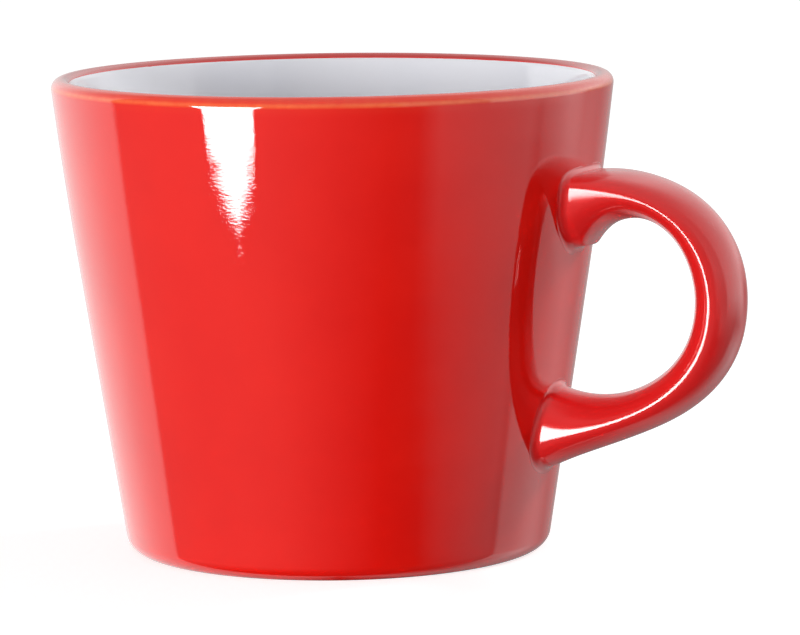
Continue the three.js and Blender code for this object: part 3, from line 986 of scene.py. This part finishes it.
class MUG_OT_base_coat(bpy.types.Operator):
    """Turn the white glaze in the recess inside the foot ring"""

    bl_idname = "mug.base_coat"
    bl_label = "Base coat"

    def execute(self, context):
        scene = context.scene
        material = base_white(scene.mug_colours)
        piece = turned_piece("base_coat", base_profile(Wall(scene.mug_cup)), False, material)
        adopt(piece, "white_glaze", "base_glaze")
        return {"FINISHED"}


class MUG_OT_handle_coat(bpy.types.Operator):
    """Loft the red coat of the looped handle, with fillets that run out on the wall"""

    bl_idname = "mug.handle_coat"
    bl_label = "Handle coat"

    def execute(self, context):
        scene = context.scene
        strap = Strap(scene.mug_handle, Wall(scene.mug_cup))
        outside = strap.skin(0, LOOP_STEPS)
        inside = strap.skin(GLAZE, INSIDE_LOOP_STEPS)
        red = bpy.data.materials["red_glaze"]
        piece = lofted_piece("handle_coat", outside + inside[::-1], True, red)
        adopt(piece, "red_glaze", "handle_glaze")
        return {"FINISHED"}


class MUG_OT_hidden_clay(bpy.types.Operator):
    """Loft the clay strap and the slip at its two ends, under the handle's coat"""

    bl_idname = "mug.hidden_clay"
    bl_label = "Clay under the handle"

    def execute(self, context):
        scene = context.scene
        strap = Strap(scene.mug_handle, Wall(scene.mug_cup))
        clay = bpy.data.materials["fired_clay"]
        slip = matt_clay("dried_slip", scene.mug_colours.slip, scene.mug_colours.clay_speck)
        adopt(lofted_piece("handle_clay", strap.clay_rows(), False, clay), "clay", "handle")
        for name, root in {"upper_slip": UPPER_ROOT, "lower_slip": LOWER_ROOT}.items():
            piece = lofted_piece(name, strap.slip_rows(root), False, slip)
            adopt(piece, "slip", f"{name}_joint")
        return {"FINISHED"}


def studio_bearing(bearing, distance, height):
    """A place in the studio, by its bearing from the camera's side in degrees, positive to the right."""
    turn = radians(bearing) + HANDLE_TURN
    return Vector((AXIS_X + distance * sin(turn), -distance * cos(turn), height))


def aim(thing, target):
    thing.rotation_euler = (target - thing.location).to_track_quat("-Z", "Y").to_euler()


def make_camera(scene):
    """The photograph's camera, which looks past the cup's axis and down."""
    forward = Vector(
        (sin(CAMERA_YAW) * cos(CAMERA_PITCH), cos(CAMERA_YAW) * cos(CAMERA_PITCH), -sin(CAMERA_PITCH))
    )
    right = forward.cross(Vector((0, 0, 1))).normalized()
    up = right.cross(forward)
    level = Matrix((right, up, -forward)).transposed()
    rolled = level @ Matrix.Rotation(CAMERA_ROLL, 3, "Z")
    data = bpy.data.cameras.new("camera")
    data.sensor_width = SENSOR_WIDTH
    data.lens = CAMERA_FOCUS / IMAGE_WIDTH * SENSOR_WIDTH
    camera = bpy.data.objects.new("camera", data)
    turned = Matrix.Rotation(HANDLE_TURN, 3, "Z") @ rolled
    place_at = studio_bearing(0, CAMERA_DISTANCE, CAMERA_HEIGHT)
    camera.matrix_world = Matrix.Translation(place_at) @ turned.to_4x4()
    scene.collection.objects.link(camera)
    scene.camera = camera


def stage_sheet(scene, name, corners):
    """A flat sheet of the stage through its corners, and its new material with no nodes yet."""
    mesh = bpy.data.meshes.new(name)
    mesh.from_pydata(corners, [], [range(len(corners))])
    sheet = bpy.data.objects.new(name, mesh)
    scene.collection.objects.link(sheet)
    material = bpy.data.materials.new(name)
    material.use_nodes = True
    material.node_tree.nodes.clear()
    mesh.materials.append(material)
    return sheet, material


def make_floor(scene, colours, light):
    """A pale table that is lifted to white in the picture and keeps the shadow."""
    half = FLOOR_WIDTH / 2
    corners = [(-half, -half, 0), (half, -half, 0), (half, half, 0), (-half, half, 0)]
    floor, material = stage_sheet(scene, "floor", corners)
    tree = material.node_tree
    path = place(tree, "ShaderNodeLightPath").outputs
    seen = path["Is Camera Ray"]
    for ray in ("Is Glossy Ray", "Is Transmission Ray"):
        seen = place(tree, "ShaderNodeMath", {0: seen, 1: path[ray]}, operation="MAXIMUM").outputs[0]
    matt = place(tree, "ShaderNodeBsdfDiffuse", {"Color": rgba(colours.floor)})
    glow = place(tree, "ShaderNodeEmission", {"Strength": times(tree, seen, light.glow)})
    both = place(tree, "ShaderNodeAddShader", {0: matt.outputs[0], 1: glow.outputs[0]})
    place(tree, "ShaderNodeOutputMaterial", {"Surface": both.outputs[0]})
    floor.visible_glossy = False


def make_lamp(scene, name, level, location):
    """A large soft lamp, which lights and isn't mirrored."""
    data = bpy.data.lights.new(name, "AREA")
    data.shape = "DISK"
    data.size = LAMP_WIDTH
    lamp = bpy.data.objects.new(name, data)
    lamp.location = location
    middle = Vector((AXIS_X, 0, LAMP_AIM))
    aim(lamp, middle)
    data.energy = level * pi * pi * (lamp.location - middle).length_squared
    lamp.visible_camera = False
    lamp.visible_glossy = False
    scene.collection.objects.link(lamp)


def make_softbox(scene, light):
    """A softbox with a low point, on the left of the camera, which only the gloss mirrors."""

    def offset(angle_seen):
        return SOFTBOX_DISTANCE * tan(radians(angle_seen))

    corners = [(offset(across), offset(up), 0) for across, up in SOFTBOX_CORNERS]
    softbox, material = stage_sheet(scene, "softbox", corners)
    height = SOFTBOX_AIM + offset(SOFTBOX_RISE)
    softbox.location = studio_bearing(SOFTBOX_BEARING, SOFTBOX_DISTANCE, height)
    aim(softbox, Vector((AXIS_X, 0, SOFTBOX_AIM)))
    material.cycles.emission_sampling = "NONE"
    glow = place(material.node_tree, "ShaderNodeEmission", {"Strength": light.softbox})
    place(material.node_tree, "ShaderNodeOutputMaterial", {"Surface": glow.outputs[0]})
    softbox.visible_camera = False
    softbox.visible_diffuse = False
    softbox.visible_shadow = False
    softbox.visible_transmission = False


def bearing_levels(tree, round_about, stops):
    """The surroundings' levels by bearing, as a ramp's colour, over the brightest."""
    ramp = place(tree, "ShaderNodeValToRGB", {"Fac": round_about})
    marks = ramp.color_ramp.elements
    while len(marks) < len(stops):
        marks.new(0.5)
    for mark, (bearing, level) in zip(marks, stops):
        mark.position = 0.5 + bearing / 360
        mark.color = rgba([level / BRIGHTEST] * 3)
    return ramp.outputs["Color"]


def mirrored_levels(tree):
    """What a gloss mirrors: levels by bearing, blended from one elevation to the next."""
    direction = place(tree, "ShaderNodeTexCoord").outputs["Generated"]
    turn = (0, 0, pi / 2 - HANDLE_TURN)
    facing = place(tree, "ShaderNodeMapping", {"Vector": direction, "Rotation": turn}).outputs["Vector"]
    circle = place(tree, "ShaderNodeTexGradient", {"Vector": facing}, gradient_type="RADIAL")
    height = place(tree, "ShaderNodeSeparateXYZ", {"Vector": direction}).outputs["Z"]
    levels = None
    below = None
    for elevation, stops in SURROUNDINGS.items():
        row = bearing_levels(tree, circle.outputs["Fac"], stops)
        above = sin(radians(elevation))
        if levels is None:
            levels = row
        else:
            levels = blended(tree, ranged(tree, height, below, above), levels, row)
        below = above
    return levels


def make_surroundings(scene, light):
    """A dome that lights softly all round, is white in the picture and shows the studio in the gloss."""
    world = bpy.data.worlds.new("studio")
    world.use_nodes = True
    scene.world = world
    tree = world.node_tree
    tree.nodes.clear()
    path = place(tree, "ShaderNodeLightPath").outputs
    plain = ranged(tree, path["Is Camera Ray"], 0, 1, light.dome, 1.0)
    white = place(tree, "ShaderNodeBackground", {"Color": (1, 1, 1, 1), "Strength": plain})
    levels = mirrored_levels(tree)
    mirrored = place(tree, "ShaderNodeBackground", {"Color": levels, "Strength": BRIGHTEST})
    choice = {0: path["Is Glossy Ray"], 1: white.outputs[0], 2: mirrored.outputs[0]}
    both = place(tree, "ShaderNodeMixShader", choice)
    place(tree, "ShaderNodeOutputWorld", {"Surface": both.outputs[0]})


class MUG_OT_studio(bpy.types.Operator):
    """Set up the table, the lights and the camera"""

    bl_idname = "mug.studio"
    bl_label = "Studio"

    def execute(self, context):
        scene = context.scene
        scene.view_settings.view_transform = "Standard"
        make_camera(scene)
        make_floor(scene, scene.mug_colours, scene.mug_light)
        key_place = studio_bearing(KEY_BEARING, KEY_DISTANCE, KEY_HEIGHT)
        make_lamp(scene, "key_lamp", scene.mug_light.key, key_place)
        fill_place = studio_bearing(FILL_BEARING, FILL_DISTANCE, FILL_HEIGHT)
        make_lamp(scene, "fill_lamp", scene.mug_light.fill, fill_place)
        make_softbox(scene, scene.mug_light)
        make_surroundings(scene, scene.mug_light)
        return {"FINISHED"}


OPERATORS = (
    MUG_OT_clay_cup,
    MUG_OT_red_coat,
    MUG_OT_white_liner,
    MUG_OT_base_coat,
    MUG_OT_handle_coat,
    MUG_OT_hidden_clay,
    MUG_OT_studio,
)
SETTINGS = {
    "mug_cup": CupSizes,
    "mug_handle": HandleSizes,
    "mug_colours": FinishColours,
    "mug_light": StudioLight,
}


class MUG_PT_sidebar(bpy.types.Panel):
    """Sizes, colours and steps of the mug"""

    bl_idname = "MUG_PT_sidebar"
    bl_label = "Mug"
    bl_space_type = "VIEW_3D"
    bl_region_type = "UI"
    bl_category = "Mug"

    def draw(self, context):
        for operator in OPERATORS:
            self.layout.operator(operator.bl_idname)
        for name, group in SETTINGS.items():
            box = self.layout.box()
            box.label(text=group.__doc__)
            for setting in group.__annotations__:
                box.prop(getattr(context.scene, name), setting)


CLASSES = (*SETTINGS.values(), *OPERATORS, MUG_PT_sidebar)


def register():
    for made in CLASSES:
        bpy.utils.register_class(made)
    for name, group in SETTINGS.items():
        setattr(bpy.types.Scene, name, PointerProperty(type=group))


def unregister():
    for name in SETTINGS:
        delattr(bpy.types.Scene, name)
    for made in reversed(CLASSES):
        bpy.utils.unregister_class(made)


def main():
    register()
    bpy.ops.mug.clay_cup()
    bpy.ops.mug.red_coat()
    bpy.ops.mug.white_liner()
    bpy.ops.mug.base_coat()
    bpy.ops.mug.handle_coat()
    bpy.ops.mug.hidden_clay()
    bpy.ops.mug.studio()


if __name__ == "__main__":
    main()
